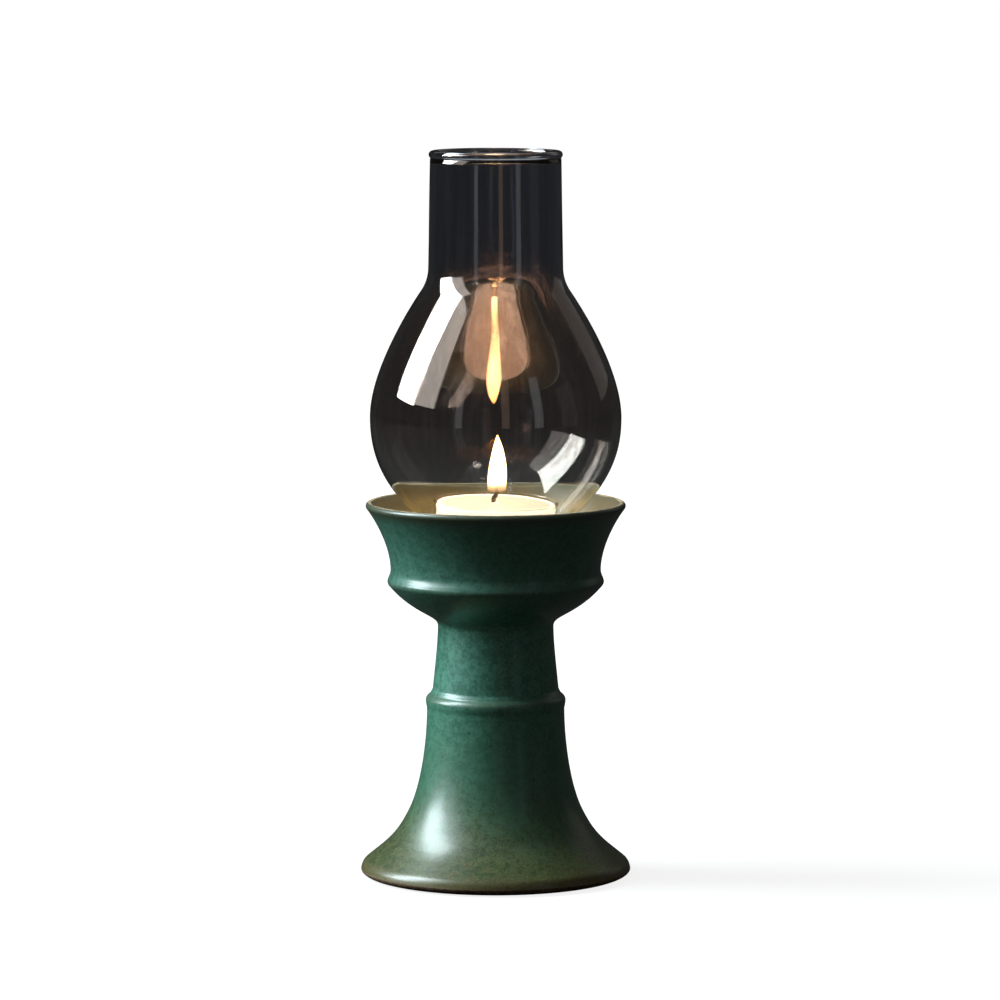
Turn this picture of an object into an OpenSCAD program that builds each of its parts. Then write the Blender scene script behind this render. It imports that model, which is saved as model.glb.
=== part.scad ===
// Candle lantern: a glazed stoneware stand, a smoked glass chimney and a tealight in a clear cup.
// Every piece is turned about Z and the lantern stands on the plane z = 0. Sizes are in millimetres.

/* [Foot and stem] */
// Radius of the foot at its widest
foot_r = 40.85; // [38:0.05:48]
// Height of the widest line of the foot
foot_edge_z = 2.15; // [1.6:0.05:4]
// Outer radius of the ring that the lantern stands on
ground_r = 35.4; // [33:0.1:36.4]
// Width of that ring
ground_w = 4.4; // [3:0.1:6]
// Height of the top of the flare, where the collar starts
flare_top_z = 50.9; // [42:0.1:62]
// Radius of the flare at its top
flare_top_r = 20.87; // [19.5:0.01:24]
// Height of the collar, from the flare to the stem
collar_h = 6.4; // [5.4:0.1:8]
// How far the crest of the collar stands out from the flare
collar_crest = 0.35; // [0.2:0.05:1.2]
// Radius of the stem just above the collar
stem_base_r = 19.1; // [17.8:0.05:20]
// Radius of the stem under the bowl
stem_top_r = 17.55; // [16:0.05:18.6]
// Height of the stem above the collar
stem_h = 19.2; // [14:0.1:34]
// Wall of the hollow foot and stem
foot_wall = 4.2; // [3:0.1:5.5]

/* [Bowl] */
// Height of the underside of the bowl, from the stem to the ridge
bowl_under_h = 13.3; // [12:0.1:18]
// Radius of the ridge round the bowl
ridge_r = 32.77; // [31.6:0.01:36]
// Radius of the rounding of the ridge
ridge_round = 1.75; // [1.2:0.05:2]
// Height from the ridge up to the waist of the bowl
waist_h = 3.5; // [3.2:0.1:5]
// How far the waist lies inside the ridge
waist_in = 0.95; // [0.6:0.01:1.2]
// Height from the waist up to the lip
bowl_wall_h = 20.6; // [16:0.1:26]
// Radius of the lip at its widest
lip_r = 39.3; // [37:0.05:44]
// Thickness of the bowl at the lip
lip_t = 2.4; // [1.8:0.1:3]
// Wall of the bowl at its waist
bowl_wall = 4; // [3:0.1:4.5]
// Height from the ridge up to the seat, where the chimney and the candle stand
seat_rise = 1.1; // [0:0.1:2.5]
// Depth of the round seat in the floor of the bowl
seat_depth = 1.5; // [1:0.1:2.5]
// Thickness of the floor between the seat and the hollow below it
floor_t = 4.6; // [3.5:0.1:6]

/* [Chimney] */
// Wall of the glass
glass_wall = 1.8; // [1.2:0.1:2.4]
// Outer radius of the straight fitter at the bottom
fitter_r = 22.4; // [21.8:0.05:24]
// Height of the fitter
fitter_h = 16.2; // [13:0.1:18]
// Height from the foot of the chimney to the widest line of the bulb
bulb_mid_h = 48.6; // [44:0.1:56]
// Outer radius of the bulb
bulb_r = 37.95; // [34:0.05:42]
// Height from the foot of the chimney to the neck
neck_low_h = 93.8; // [84:0.1:104]
// Outer radius of the neck where the bulb ends
neck_low_r = 20.33; // [19.4:0.01:23]
// Outer radius of the neck at the mouth
neck_top_r = 19.75; // [18.5:0.05:22]
// Height of the neck
neck_h = 35; // [26:0.1:50]
// Radius of the bend between the bulb and the neck
neck_bend_r = 12.7; // [8:0.1:14]
// Thickness of the rounded bead at the mouth
bead_t = 2.4; // [2.4:0.05:3]
// How far the bead stands out from the neck
bead_out = 0.4; // [0.2:0.05:0.6]
// Gap round the fitter in its seat
seat_gap = 0.6; // [0.4:0.05:1]

/* [Candle] */
// Outer radius of the clear cup
cup_r = 19; // [17:0.05:19.6]
// Height of the cup
cup_h = 23.2; // [15:0.1:25]
// Wall and floor of the cup
cup_wall = 0.5; // [0.3:0.05:0.8]
// How far the wax stays below the edge of the cup
wax_below = 0.7; // [0.3:0.05:2]
// Radius of the cotton wick
wick_r = 0.8; // [0.6:0.05:1]
// Length of wick standing straight out of the wax
wick_out = 0.6; // [0.3:0.1:3]
// Lean of the wick between its two bends, in degrees
wick_lean = 46; // [20:1:60]
// Radius of the two bends
wick_bend_r = 1.7; // [1.4:0.1:2.4]
// Length of the upright tip of the wick
wick_tip = 1.8; // [1:0.1:4]
// Radius of the steel tab that holds the wick
tab_r = 6.25; // [4:0.05:8]
// Thickness of the tab's sheet
tab_t = 0.3; // [0.2:0.05:0.5]
// Height of the tab's crimped neck
tab_neck_h = 4; // [3:0.1:8]

/* [Hidden] */
$fn = 96;
STEPS = 20;            // points along a long curve
SHORT_STEPS = 8;       // points along a small round
SLIP = 0.05;           // clearance between pieces that are cast or pushed together
over = 1;              // how far a cutting shape runs past a face

// Heights of the stand, from the plane it stands on
collar_top_z = flare_top_z + collar_h;
stem_top_z = collar_top_z + stem_h;
ridge_z = stem_top_z + bowl_under_h;
waist_z = ridge_z + waist_h;
waist_r = ridge_r - waist_in;
lip_z = waist_z + bowl_wall_h;
seat_z = ridge_z + seat_rise;
floor_z = seat_z + seat_depth;
seat_r = fitter_r + seat_gap;
hollow_top_z = seat_z - floor_t;

// Direction that leans by a degrees from straight up towards the axis
function leaning(a) = [-sin(a), cos(a)];

// Cubic curve from a to d, leaving a towards b and reaching d from c
function curve(a, b, c, d, n = STEPS) =
    [for (i = [0:n]) let (t = i / n, s = 1 - t)
        s * s * s * a + 3 * s * s * t * b + 3 * s * t * t * c + t * t * t * d];

// Arc about c from angle a0 to angle a1
function arc(c, r, a0, a1, n = SHORT_STEPS) =
    [for (i = [0:n]) let (a = a0 + (a1 - a0) * i / n) c + r * [cos(a), sin(a)]];

// Path without the points that repeat the one before them
function clean(p) =
    [for (i = [0:len(p) - 1]) if (i == 0 || norm(p[i] - p[i - 1]) > 0.001) p[i]];

// Direction of a path at its point i
function heading(p, i) =
    let (d = p[min(i + 1, len(p) - 1)] - p[max(i - 1, 0)]) d / norm(d);

// Path moved to its left, by t0 at its start and t1 at its end
function inset(p, t0, t1) =
    [for (i = [0:len(p) - 1]) let (h = heading(p, i), t = t0 + (t1 - t0) * i / (len(p) - 1))
        p[i] + t * [-h.y, h.x]];

function turned(p) = [for (i = [len(p) - 1:-1:0]) p[i]];

// Outside of the foot: under its edge, round the edge and up the flare
edge_round = 3.8;      // radius of the edge above its widest line
edge_turn = 50.6;      // lean of the flare where it leaves the edge
edge_c = [foot_r - edge_round, foot_edge_z];
edge_top = edge_c + edge_round * [cos(edge_turn), sin(edge_turn)];
flare_h = flare_top_z - edge_top.y;
flare_run = edge_top.x - flare_top_r;
flare_mid_lean = 26;
flare_mid = [flare_top_r + 0.292 * flare_run, edge_top.y + 0.33 * flare_h];
flare = concat(
    curve(edge_top, edge_top + 0.175 * flare_h * leaning(edge_turn),
        flare_mid - 0.2 * flare_h * leaning(flare_mid_lean), flare_mid),
    curve(flare_mid, flare_mid + 0.19 * flare_h * leaning(flare_mid_lean),
        [flare_top_r, flare_top_z - 0.19 * flare_h], [flare_top_r, flare_top_z]));
foot_edge = concat(
    curve([ground_r, 0], [ground_r + 0.55 * (foot_r - ground_r), 0],
        [foot_r, 0.45 * foot_edge_z], [foot_r, foot_edge_z], SHORT_STEPS),
    arc(edge_c, edge_round, 0, edge_turn));

// Collar: one rounded bead that swells out of the flare, and a slope up to the stem
bead_round = 2;        // radius of the shoulder of the collar's bead
bead_high = 45;        // angle where the shoulder ends
bead_c = [flare_top_r + collar_crest - bead_round, flare_top_z + 0.43 * collar_h];
collar = concat(
    curve([flare_top_r, flare_top_z], [flare_top_r, flare_top_z + 0.17 * collar_h],
        bead_c + [bead_round, -0.22 * collar_h], bead_c + [bead_round, 0], SHORT_STEPS),
    arc(bead_c, bead_round, 0, bead_high),
    curve(bead_c + bead_round * [cos(bead_high), sin(bead_high)],
        [stem_base_r + 0.9, collar_top_z - 1.5], [stem_base_r + 0.15, collar_top_z - 0.7],
        [stem_base_r, collar_top_z], SHORT_STEPS));

stem = curve([stem_base_r, collar_top_z], [stem_base_r - 0.8, collar_top_z + 0.4 * stem_h],
    [stem_top_r, stem_top_z - 0.25 * stem_h], [stem_top_r, stem_top_z], SHORT_STEPS);

// Outside of the bowl: underside, ridge, waist and flared wall
ridge_low = 40;        // angles where the ridge's arc starts and ends
ridge_high = 24;
ridge_c = [ridge_r - ridge_round, ridge_z];
ridge_start = ridge_c + ridge_round * [cos(ridge_low), -sin(ridge_low)];
ridge_end = ridge_c + ridge_round * [cos(ridge_high), sin(ridge_high)];
bowl_under = curve([stem_top_r, stem_top_z], [stem_top_r + 0.5, stem_top_z + 0.25 * bowl_under_h],
    ridge_start - 0.83 * bowl_under_h * [sin(ridge_low), cos(ridge_low)], ridge_start);
ridge = concat(
    arc(ridge_c, ridge_round, -ridge_low, ridge_high),
    curve(ridge_end, [waist_r + 0.55, waist_z - 1.9], [waist_r, waist_z - 1.2],
        [waist_r, waist_z], SHORT_STEPS));
lip_lean = 37;         // lean of the wall at the lip
lip_c = [lip_r - lip_t / 2, lip_z - lip_t / 2];
lip_low = lip_c + lip_t / 2 * [cos(lip_lean), -sin(lip_lean)];
bowl_side = curve([waist_r, waist_z], [waist_r, waist_z + 0.31 * bowl_wall_h],
    lip_low - 0.27 * bowl_wall_h * [sin(lip_lean), cos(lip_lean)], lip_low);
lip = arc(lip_c, lip_t / 2, -lip_lean, 180 - lip_lean, 2 * SHORT_STEPS);

// Inside of the bowl: the wall follows the outside, down to a rounded corner at the floor
corner_r = 2;
bowl_inside = turned(inset(bowl_side, bowl_wall, lip_t));
bowl_corner = arc([bowl_inside[STEPS].x - corner_r, floor_z + corner_r], corner_r, 0, -90);

// Hollow of the foot and stem: the outside moved in by the wall, as far as under the bowl's floor
stand_outside = clean(concat(foot_edge, flare, collar, stem, bowl_under));
hollow_side = inset(clean(concat(flare, [[stem_base_r, collar_top_z]], [[stem_top_r, stem_top_z]],
    bowl_under)), foot_wall, foot_wall);
ground_in_r = ground_r - ground_w;
ground_chamfer = 0.8;

module foot_hollow() {
    intersection() {
        rotate_extrude()
        polygon(concat([[0, -over], [foot_r, -over]], hollow_side,
            [[ridge_r, ridge_z + over], [0, ridge_z + over]]));
        translate([0, 0, -over])
        cylinder(r = ground_in_r, h = hollow_top_z + over);
    }
    translate([0, 0, -over])
    cylinder(r1 = ground_in_r + ground_chamfer + over, r2 = ground_in_r, h = ground_chamfer + over);
}

module stand() {
    color([0.16, 0.36, 0.29])
    difference() {
        rotate_extrude()
        polygon(clean(concat([[0, 0]], stand_outside, ridge, bowl_side, lip, bowl_inside,
            bowl_corner, [[0, floor_z]])));
        translate([0, 0, seat_z])
        cylinder(r = seat_r, h = seat_depth + over);
        foot_hollow();
    }
}

// Outside of the chimney, measured from its foot: fitter, bulb, bend, neck
fitter_bend_r = 3;
fitter_turn = 48;      // lean of the glass where the bulb starts
bend_turn = 34;        // lean of the glass where the bulb ends
fitter_bend_c = [fitter_r + fitter_bend_r, fitter_h];
bulb_start = fitter_bend_c + fitter_bend_r * [-cos(fitter_turn), sin(fitter_turn)];
bend_c = [neck_low_r + neck_bend_r, neck_low_h];
bulb_end = bend_c - neck_bend_r * [cos(bend_turn), sin(bend_turn)];
low_h = bulb_mid_h - bulb_start.y;
high_h = bulb_end.y - bulb_mid_h;
mouth_h = neck_low_h + neck_h;
bead_r = bead_t / 2;
chimney_outside = clean(concat(
    [[fitter_r, glass_wall / 2]],
    arc(fitter_bend_c, fitter_bend_r, 180, 180 - fitter_turn),
    curve(bulb_start, bulb_start + 0.49 * low_h * [sin(fitter_turn), cos(fitter_turn)],
        [bulb_r, bulb_mid_h - 0.36 * low_h], [bulb_r, bulb_mid_h]),
    curve([bulb_r, bulb_mid_h], [bulb_r, bulb_mid_h + 0.36 * high_h],
        bulb_end - 0.19 * high_h * leaning(bend_turn), bulb_end),
    arc(bend_c, neck_bend_r, 180 + bend_turn, 180),
    [[neck_top_r, mouth_h - bead_t]]));
chimney_inside = turned(inset(chimney_outside, glass_wall, glass_wall));

module chimney() {
    color([0.2, 0.2, 0.22, 0.5])
    translate([0, 0, seat_z])
    rotate_extrude()
    polygon(clean(concat(
        arc([fitter_r - glass_wall / 2, glass_wall / 2], glass_wall / 2, -90, 0),
        chimney_outside,
        arc([neck_top_r + bead_out - bead_r, mouth_h - bead_r], bead_r, -60, 240, 2 * SHORT_STEPS),
        chimney_inside,
        arc([fitter_r - glass_wall / 2, glass_wall / 2], glass_wall / 2, 180, 270))));
}

// Candle, standing on the seat inside the chimney
cup_floor_z = seat_z + cup_wall;
wax_top_z = seat_z + cup_h - wax_below;
tab_bore_r = wick_r + SLIP;
tab_neck_r = tab_bore_r + tab_t;

module candle_cup() {
    color([0.9, 0.9, 0.88, 0.4])
    translate([0, 0, seat_z])
    difference() {
        cylinder(r = cup_r, h = cup_h);
        translate([0, 0, cup_wall])
        cylinder(r = cup_r - cup_wall, h = cup_h);
    }
}

module wick_tab() {
    color([0.7, 0.7, 0.7])
    translate([0, 0, cup_floor_z])
    difference() {
        union() {
            cylinder(r = tab_r, h = tab_t);
            cylinder(r = tab_neck_r, h = tab_neck_h);
        }
        translate([0, 0, -over])
        cylinder(r = tab_bore_r, h = tab_neck_h + 2 * over);
    }
}

// The wax stands on the cup's floor and closes round the tab and the wick
module wax() {
    color([0.98, 0.93, 0.8])
    difference() {
        translate([0, 0, cup_floor_z])
        cylinder(r = cup_r - cup_wall - SLIP, h = wax_top_z - cup_floor_z);
        translate([0, 0, cup_floor_z - over])
        cylinder(r = wick_r + SLIP, h = cup_h + 2 * over);
        translate([0, 0, cup_floor_z - over])
        cylinder(r = tab_r + SLIP, h = tab_t + SLIP + over);
        translate([0, 0, cup_floor_z - over])
        cylinder(r = tab_neck_r + SLIP, h = tab_neck_h + SLIP + over);
    }
}

// The wick: straight up from the cup's floor, two bends the opposite way and an upright tip
module wick() {
    bend_z = wax_top_z + wick_out;
    shift = wick_bend_r * (1 - cos(wick_lean));
    rise = wick_bend_r * sin(wick_lean);
    path = concat(
        [[0, cup_floor_z + wick_r]],
        arc([wick_bend_r, bend_z], wick_bend_r, 180, 180 - wick_lean, 4),
        arc([2 * shift - wick_bend_r, bend_z + 2 * rise], wick_bend_r, -wick_lean, 0, 4),
        [[2 * shift, bend_z + 2 * rise + wick_tip - wick_r]]);
    spine = clean(path);
    color([0.15, 0.13, 0.12])
    for (i = [1:len(spine) - 1])
        hull()
        for (p = [spine[i - 1], spine[i]])
            translate([p.x, 0, p.y])
            sphere(r = wick_r, $fn = 12);
}

stand();
chimney();
candle_cup();
wax();
wick();
wick_tab();
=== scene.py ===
import math

import bpy
import numpy as np
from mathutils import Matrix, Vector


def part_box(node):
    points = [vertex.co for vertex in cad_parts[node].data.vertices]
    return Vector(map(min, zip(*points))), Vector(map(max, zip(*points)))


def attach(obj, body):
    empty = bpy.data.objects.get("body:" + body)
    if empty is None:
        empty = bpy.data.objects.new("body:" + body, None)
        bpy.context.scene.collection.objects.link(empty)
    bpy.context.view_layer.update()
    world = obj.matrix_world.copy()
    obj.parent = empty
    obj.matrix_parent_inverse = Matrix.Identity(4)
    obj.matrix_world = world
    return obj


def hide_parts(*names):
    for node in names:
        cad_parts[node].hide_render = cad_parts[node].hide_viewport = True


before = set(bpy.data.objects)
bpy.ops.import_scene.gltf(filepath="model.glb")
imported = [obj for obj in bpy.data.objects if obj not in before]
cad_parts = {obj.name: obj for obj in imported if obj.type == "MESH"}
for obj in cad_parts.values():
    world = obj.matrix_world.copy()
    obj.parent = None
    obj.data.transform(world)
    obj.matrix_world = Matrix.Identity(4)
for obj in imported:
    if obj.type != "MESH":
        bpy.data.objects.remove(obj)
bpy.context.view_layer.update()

mm = 0.001  # shapes are worked out in millimetres and stored in metres

# driving sizes that the solids give, in mm
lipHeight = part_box("stand")[1].z / mm
seatHeight, mouthHeight = (corner.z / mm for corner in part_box("chimney"))
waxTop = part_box("wax")[1].z / mm
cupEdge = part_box("candle_cup")[1].z / mm
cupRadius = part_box("candle_cup")[1].x / mm
print("frame read: lip at %.1f mm, mouth of the glass at %.1f mm" % (lipHeight, mouthHeight))


def curve(start, pull, push, end, count):
    # cubic from start to end: it leaves start towards pull and reaches end from push
    t = np.linspace(0, 1, count)[:, None]
    start, pull, push, end = (np.array(p, float) for p in (start, pull, push, end))
    return (1 - t) ** 3 * start + 3 * (1 - t) ** 2 * t * pull + 3 * (1 - t) * t * t * push + t ** 3 * end


def arc(centre, radius, fromDeg, toDeg, count):
    # equal steps of angle on a circle: centre plus radius times cosine and sine
    a = np.radians(np.linspace(fromDeg, toDeg, count))
    return np.array(centre, float) + radius * np.stack([np.cos(a), np.sin(a)], 1)


def line(start, end, count):
    # straight run in equal steps
    return np.linspace(start, end, count)


def leaning(deg):
    # direction that leans by deg from straight up towards the axis, or away from it below zero
    return np.array([-math.sin(math.radians(deg)), math.cos(math.radians(deg))])


def joined(*paths):
    # the paths end to end, without points that repeat the one before
    path = np.vstack([np.atleast_2d(p) for p in paths])
    return path[np.r_[True, np.linalg.norm(np.diff(path, axis=0), axis=1) > 1e-3]]


def headings(path, ring=False):
    # unit direction at each point, from the point before it to the point after it
    if ring:
        direction = np.roll(path, -1, 0) - np.roll(path, 1, 0)
    else:
        direction = np.gradient(path, axis=0)
    return direction / np.linalg.norm(direction, axis=1)[:, None]


def lengths(path):
    # length along the path from its start to each point
    return np.r_[0, np.cumsum(np.linalg.norm(np.diff(path, axis=0), axis=1))]


def inset(path, startDepth, endDepth):
    # each point moved to the left of the path by a depth that runs from start to end
    direction = headings(path)
    depth = np.linspace(startDepth, endDepth, len(path))[:, None]
    return path + depth * np.stack([-direction[:, 1], direction[:, 0]], 1)


def smoothStep(value, low, high):
    # 0 below low, 1 above high, and 3t^2 - 2t^3 between them
    t = np.clip((value - low) / (high - low), 0, 1)
    return t * t * (3 - 2 * t)


def placed(name, data):
    # an object in the scene with this mesh, light or camera
    thing = bpy.data.objects.new(name, data)
    bpy.context.collection.objects.link(thing)
    return thing


def skin(name, rows, body, material, ring=False, marks=None, replaced=()):
    # rows[i, j] is the point at step i along and step j round; quads join each point to its
    # neighbours, the last column meets the first, and open ends close on a pole at their middle, or
    # as a ring the last row meets the first; marks hold a value for each step along
    rows = np.array(rows, float)
    count, sides = rows.shape[:2]
    length = np.r_[0, np.cumsum(np.linalg.norm(np.diff(rows, axis=0), axis=2).max(1))]
    if ring:
        points = rows.reshape(-1, 3)
        index = np.arange(count * sides).reshape(count, sides)
        index = np.vstack([index, index[:1]])
        length = np.r_[length, length[-1] + np.linalg.norm(rows[0, 0] - rows[-1, 0])]
    else:
        points = np.vstack([rows[0].mean(0), rows[1:-1].reshape(-1, 3), rows[-1].mean(0)])
        index = np.zeros((count, sides), int)
        index[1:-1] = np.arange((count - 2) * sides).reshape(-1, sides) + 1
        index[-1] = len(points) - 1
    index = np.hstack([index, index[:, :1]])
    around = np.broadcast_to(np.linspace(0, 1, sides + 1), index.shape)
    along = np.broadcast_to(length[:, None] * mm, index.shape)

    def laid(grid):
        # the grid's values at the corners of each face in turn; faces at a pole have three corners
        four = np.stack([grid[:-1, :-1], grid[:-1, 1:], grid[1:, 1:], grid[1:, :-1]], -1)
        if ring:
            return four.reshape(-1)
        return np.concatenate([four[0][:, [0, 2, 3]].reshape(-1), four[1:-1].reshape(-1),
                               four[-1][:, [0, 1, 2]].reshape(-1)])

    sizes = np.full((len(index) - 1, sides), 4)
    if not ring:
        sizes[[0, -1]] = 3
    sizes = sizes.reshape(-1)
    mesh = bpy.data.meshes.new(name)
    mesh.vertices.add(len(points))
    mesh.vertices.foreach_set("co", (points * mm).reshape(-1))
    mesh.loops.add(int(sizes.sum()))
    mesh.loops.foreach_set("vertex_index", laid(index).astype(np.int32))
    mesh.polygons.add(len(sizes))
    mesh.polygons.foreach_set("loop_start", np.r_[0, np.cumsum(sizes)[:-1]].astype(np.int32))
    mesh.polygons.foreach_set("loop_total", sizes.astype(np.int32))
    mesh.update(calc_edges=True)
    mesh.shade_smooth()
    uv = mesh.uv_layers.new(name="surface")
    uv.data.foreach_set("uv", np.stack([laid(around), laid(along)], 1).reshape(-1).astype(np.float32))
    for markName, values in (marks or {}).items():
        values = np.broadcast_to(values[:, None], (count, sides))
        if not ring:
            values = np.concatenate([[values[0].mean()], values[1:-1].reshape(-1), [values[-1].mean()]])
        layer = mesh.attributes.new(markName, "FLOAT", "POINT")
        layer.data.foreach_set("value", values.reshape(-1).astype(np.float32))
    mesh.materials.append(material)
    piece = placed(name, mesh)
    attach(piece, body)
    if replaced:
        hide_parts(*replaced)


def turnedRows(profile, sides, swell=None, ring=False):
    # profile point (r, z) at angle a lies at (r cos a, r sin a, z); swell moves it along its normal
    direction = headings(profile, ring)
    angle = np.arange(sides) * 2 * np.pi / sides
    moved = swell(lengths(profile)[:, None], angle[None, :]) if swell else np.zeros((len(profile), sides))
    r = profile[:, :1] + direction[:, 1:] * moved
    z = profile[:, 1:] - direction[:, :1] * moved
    return np.stack([r * np.cos(angle), r * np.sin(angle), z], 2)


def tubeRows(spine, sides, radius):
    # a ring round each point of a spine that lies in the plane y = 0, across its direction;
    # radius is worked out from the share of the length and the angle round it
    direction = headings(spine)
    across = np.cross(np.broadcast_to([0.0, 1.0, 0.0], direction.shape), direction)
    other = np.cross(direction, across)
    angle = np.arange(sides) * 2 * np.pi / sides
    share = np.linspace(0, 1, len(spine))[:, None]
    size = radius(share, angle[None, :])[:, :, None]
    return spine[:, None] + size * (np.cos(angle)[None, :, None] * across[:, None]
                                    + np.sin(angle)[None, :, None] * other[:, None])


def feed(tree, socket, value):
    # a socket is linked, a colour gets its fourth number, and a plain value is stored
    if isinstance(value, bpy.types.NodeSocket):
        tree.links.new(value, socket)
    elif socket.type == "RGBA":
        socket.default_value = (*value[:3], 1)
    else:
        socket.default_value = value


def put(tree, kind, settings=None, **inputs):
    # a node with its settings and inputs; Base_Color stands for the input Base Color, n0 for the first one
    node = tree.nodes.new(kind)
    for key, value in (settings or {}).items():
        setattr(node, key, value)
    for key, value in inputs.items():
        numbered = key[0] == "n" and key[1:].isdigit()
        feed(tree, node.inputs[int(key[1:]) if numbered else key.replace("_", " ")], value)
    return node


def ramp(tree, value, stops):
    # colour by value through the stops, each a place from 0 to 1 and a linear colour
    node = put(tree, "ShaderNodeValToRGB", n0=value)
    node.color_ramp.interpolation = "EASE"
    elements = node.color_ramp.elements
    while len(elements) < len(stops):
        elements.new(0.5)
    for element, (place, colour) in zip(elements, stops):
        element.position = place
        element.color = (*colour, 1)
    return node.outputs[0]


def spread(tree, value, low, high, toLow=0.0, toHigh=1.0):
    # value from low..high to toLow..toHigh, held at both ends and eased between
    return put(tree, "ShaderNodeMapRange", {"interpolation_type": "SMOOTHSTEP"},
               n0=value, n1=low, n2=high, n3=toLow, n4=toHigh).outputs[0]


def byHeight(tree, height, span, toLow=0.0, toHigh=1.0):
    # the same over a span of height, whose two ends are in mm
    return spread(tree, height, span[0] * mm, span[1] * mm, toLow, toHigh)


def blended(tree, share, first, second):
    # colour between first and second by share
    return put(tree, "ShaderNodeMix", {"data_type": "RGBA"}, n0=share, n6=first, n7=second).outputs[2]


def maths(tree, operation, first, second):
    # one arithmetic step
    return put(tree, "ShaderNodeMath", {"operation": operation}, n0=first, n1=second).outputs[0]


def plus(tree, first, *others):
    # first plus each of the others
    for other in others:
        first = maths(tree, "ADD", first, other)
    return first


def times(tree, first, *others):
    # first times each of the others
    for other in others:
        first = maths(tree, "MULTIPLY", first, other)
    return first


def less(tree, first, second):
    # first minus second
    return maths(tree, "SUBTRACT", first, second)


def larger(tree, first, second):
    # the larger one of the two
    return maths(tree, "MAXIMUM", first, second)


def weighted(tree, *parts):
    # sum of each value times its weight
    return plus(tree, *[times(tree, value, weight) for value, weight in parts])


def uneven(tree, value, noise, amount):
    # value plus amount times what the noise is above one half
    return plus(tree, value, times(tree, less(tree, noise, 0.5), amount))


def newMaterial(name):
    # empty node material and its tree
    material = bpy.data.materials.new(name)
    material.use_nodes = True
    material.node_tree.nodes.clear()
    return material, material.node_tree


def finished(material, shader):
    # the material with this shader on its surface
    put(material.node_tree, "ShaderNodeOutputMaterial", Surface=shader.outputs[0])
    return material


def newGroup(name, inputs, outputs):
    # empty node group with named inputs (name, kind, value) and outputs (name, kind)
    group = bpy.data.node_groups.new(name, "ShaderNodeTree")
    for label, kind, value in inputs:
        socket = group.interface.new_socket(label, in_out="INPUT", socket_type=kind)
        if value is not None:
            socket.default_value = value
    for label, kind in outputs:
        group.interface.new_socket(label, in_out="OUTPUT", socket_type=kind)
    return group, group.nodes.new("NodeGroupInput"), group.nodes.new("NodeGroupOutput")


def makeMottle():
    # fine grain and slow clouds: two noises of their own size, each spread over 0 to 1
    group, inner, outer = newGroup("mottle", [("Vector", "NodeSocketVector", None),
                                              ("Grain Scale", "NodeSocketFloat", 900.0),
                                              ("Cloud Scale", "NodeSocketFloat", 40.0)],
                                   [("Grain", "NodeSocketFloat"), ("Clouds", "NodeSocketFloat")])
    cloud = put(group, "ShaderNodeTexNoise", Vector=inner.outputs[0], Scale=inner.outputs[2],
                Detail=3.0, Roughness=0.55)
    grain = put(group, "ShaderNodeTexNoise", Vector=inner.outputs[0], Scale=inner.outputs[1],
                Detail=4.0, Roughness=0.62, Distortion=0.3)
    group.links.new(spread(group, grain.outputs[0], 0.3, 0.7), outer.inputs[0])
    group.links.new(spread(group, cloud.outputs[0], 0.32, 0.68), outer.inputs[1])
    return group


def makeSpecks():
    # dots of uneven size: a share of the cells shows one, where the distance to the cell's point is
    # below a radius of its own that wobbles a little
    group, inner, outer = newGroup("specks", [("Vector", "NodeSocketVector", None),
                                              ("Scale", "NodeSocketFloat", 400.0),
                                              ("Share", "NodeSocketFloat", 0.3)],
                                   [("Mask", "NodeSocketFloat")])
    wobble = put(group, "ShaderNodeTexNoise", Vector=inner.outputs[0], Scale=2500.0, Detail=1.0)
    cells = put(group, "ShaderNodeTexVoronoi", Vector=inner.outputs[0], Scale=inner.outputs[1])
    chance = put(group, "ShaderNodeSeparateColor", n0=cells.outputs[1])
    radius = weighted(group, (chance.outputs[1], 0.26), (wobble.outputs[0], 0.14))
    dot = spread(group, less(group, radius, cells.outputs[0]), 0.0, 0.07)
    shown = maths(group, "LESS_THAN", chance.outputs[0], inner.outputs[2])
    group.links.new(times(group, dot, shown), outer.inputs[0])
    return group


mottle = makeMottle()
specks = makeSpecks()


def objectPoint(tree):
    # place on the piece, in metres from the foot of the axis
    return put(tree, "ShaderNodeTexCoord").outputs["Object"]


def heightOf(tree, point):
    # height of that place
    return put(tree, "ShaderNodeSeparateXYZ", n0=point).outputs[2]


def mark(tree, name):
    # value that the mesh carries at each point under this name
    return put(tree, "ShaderNodeAttribute", {"attribute_name": name}).outputs["Fac"]


def useMottle(tree, point, grainScale, cloudScale):
    # grain and clouds at these scales
    node = put(tree, "ShaderNodeGroup", {"node_tree": mottle}, Vector=point,
               Grain_Scale=grainScale, Cloud_Scale=cloudScale)
    return node.outputs["Grain"], node.outputs["Clouds"]


def useSpecks(tree, point, scale, share):
    # dots in this share of the cells
    node = put(tree, "ShaderNodeGroup", {"node_tree": specks}, Vector=point, Scale=scale, Share=share)
    return node.outputs["Mask"]


def relief(tree, height, strength, depth):
    # normal of a fine relief; depth is how many mm a height of 1 stands for
    return put(tree, "ShaderNodeBump", Strength=strength, Distance=depth * mm, Height=height).outputs[0]


def lettingLightIn(tree, shader, colour):
    # the shader, but a shadow ray passes and takes on the colour, so that light gets through
    passing = put(tree, "ShaderNodeBsdfTransparent", Color=colour)
    path = put(tree, "ShaderNodeLightPath")
    return put(tree, "ShaderNodeMixShader", n0=path.outputs["Is Shadow Ray"],
               n1=shader.outputs[0], n2=passing.outputs[0])


print("helpers ready")

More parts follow.
